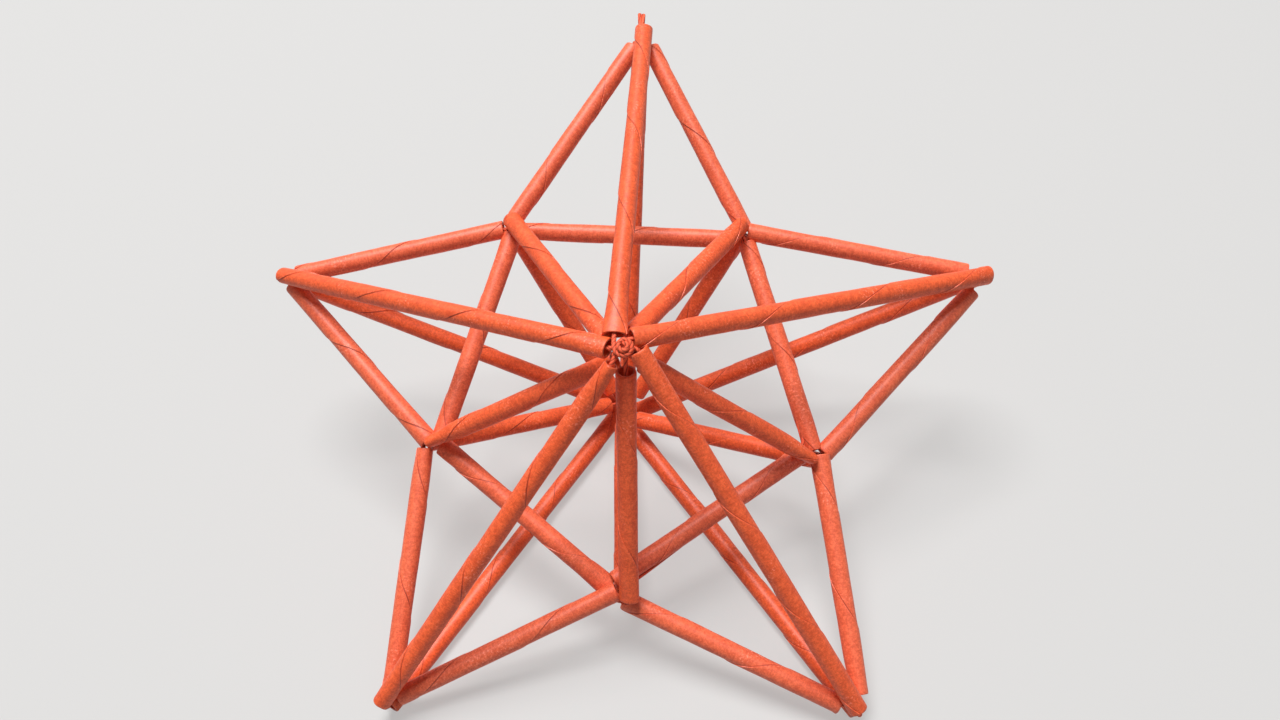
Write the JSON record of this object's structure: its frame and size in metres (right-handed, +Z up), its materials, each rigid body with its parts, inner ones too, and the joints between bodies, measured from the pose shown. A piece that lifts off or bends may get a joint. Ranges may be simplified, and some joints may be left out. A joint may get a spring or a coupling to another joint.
{
  "type": "himmeli ornament",
  "caption": "Hanging star ornament: rolled paper tubes strung on one cord into a rigid star-shaped frame with a raised point at front and back.",
  "frame": {"origin": "centre of the bounding box at the height of the table the star lies on", "axes": "+X to the star's right seen from the front, +Y along the table towards the top tip, +Z up from the table; the star lies on its back point and two lowest tips, leaning back"},
  "size_m": [0.2008, 0.1798, 0.092],
  "materials": {
    "paper": "matte, rolled in a spiral, slightly fibrous",
    "cord": "matte twisted cord"
  },
  "bodies": {
    "root": {"back_long_foot_left": "paper", "back_long_foot_right": "paper", "back_long_left": "paper", "back_long_right": "paper", "back_long_top": "paper", "back_short_base": "paper", "back_short_shoulder_left": "paper", "back_short_shoulder_right": "paper", "back_short_waist_left": "paper", "back_short_waist_right": "paper", "belt_foot_left": "paper", "belt_foot_right": "paper", "belt_left": "paper", "belt_right": "paper", "belt_top": "paper", "front_long_foot_left": "paper", "front_long_foot_right": "paper", "front_long_left": "paper", "front_long_right": "paper", "front_long_top": "paper", "front_short_base": "paper", "front_short_shoulder_left": "paper", "front_short_shoulder_right": "paper", "front_short_waist_left": "paper", "front_short_waist_right": "paper", "outline_left_foot_left": "paper", "outline_left_foot_right": "paper", "outline_left_left": "paper", "outline_left_right": "paper", "outline_left_top": "paper", "outline_right_foot_left": "paper", "outline_right_foot_right": "paper", "outline_right_left": "paper", "outline_right_right": "paper", "outline_right_top": "paper", "cord": "cord"}
  },
  "joints": []
}
